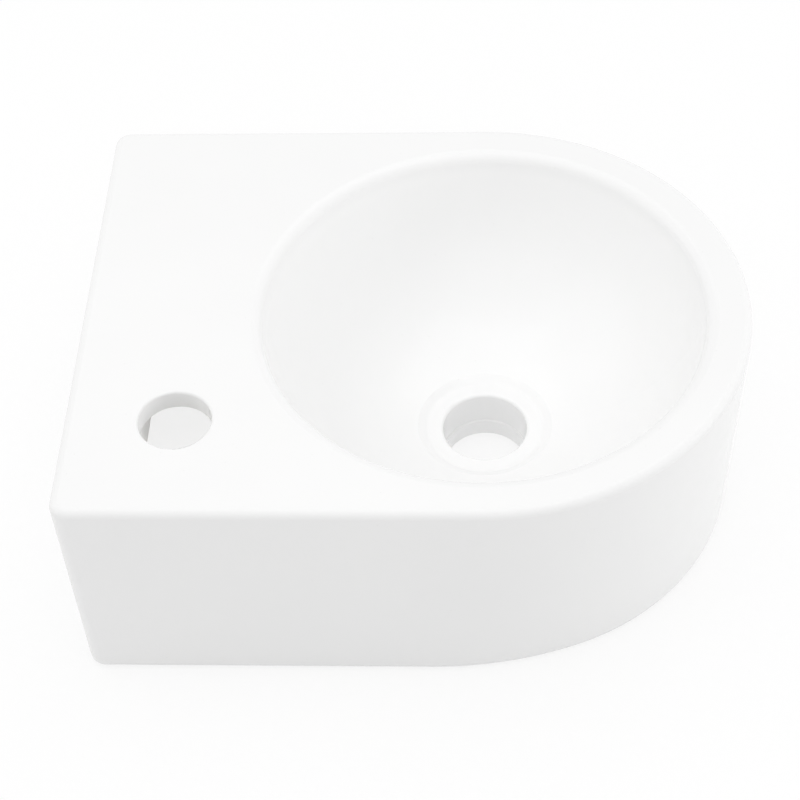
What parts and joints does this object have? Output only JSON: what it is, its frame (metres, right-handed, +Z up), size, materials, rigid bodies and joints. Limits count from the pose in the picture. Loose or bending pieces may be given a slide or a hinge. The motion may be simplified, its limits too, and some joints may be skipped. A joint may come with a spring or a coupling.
{
  "type": "corner basin",
  "caption": "Small wall-hung corner basin in white glazed ceramic: square tap end, round end with a round bowl, tap hole, waste hole and wall fixings.",
  "frame": {"origin": "midway between the axes of the wall bolts, in the plane of the wall face", "axes": "+Y into the wall, square to the wall face; +Z up; +X along the wall from the square tap end towards the round end"},
  "size_m": [0.3342, 0.317, 0.1247],
  "materials": {
    "ceramic": "gloss",
    "nylon": "satin",
    "zinc_steel": "satin"
  },
  "bodies": {
    "root": {"basin_body": "ceramic", "fixing_sleeves": "nylon", "fixing_washers": "zinc_steel", "fixing_nuts": "zinc_steel", "wall_bolts": "zinc_steel"}
  },
  "joints": []
}
